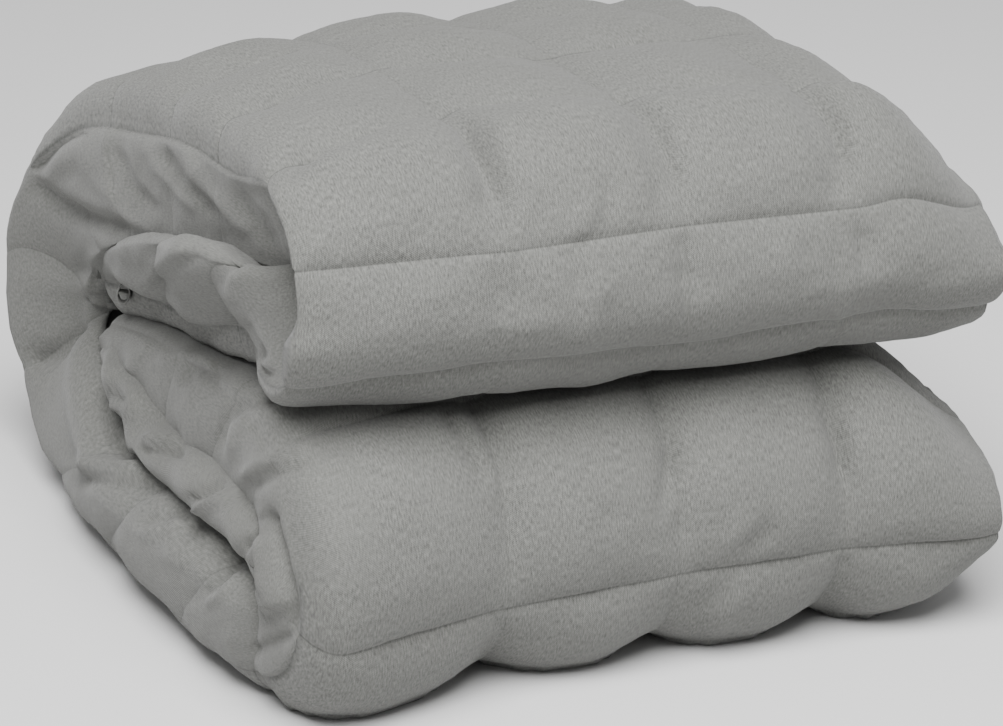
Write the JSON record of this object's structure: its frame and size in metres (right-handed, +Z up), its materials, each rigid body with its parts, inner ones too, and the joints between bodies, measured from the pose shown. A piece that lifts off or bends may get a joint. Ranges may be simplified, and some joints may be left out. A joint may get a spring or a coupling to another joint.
{
  "type": "folded weighted blanket",
  "caption": "Quilted weighted blanket folded into a thick pack, with soft closed front rolls, a rounded back, turned-in ends and a small sewn corner loop",
  "frame": {"origin": "Middle of the pack's footprint, on the surface it rests on", "axes": "+X to the right along the front rolls, +Y from the front rolls to the closed back, +Z up"},
  "size_m": [0.4503, 0.5232, 0.3021],
  "materials": {
    "blanket fabric": "matte woven twill",
    "loop tape": "matte woven tape"
  },
  "bodies": {
    "root": {"blanket": "blanket fabric", "corner_loop": "loop tape"}
  },
  "joints": []
}
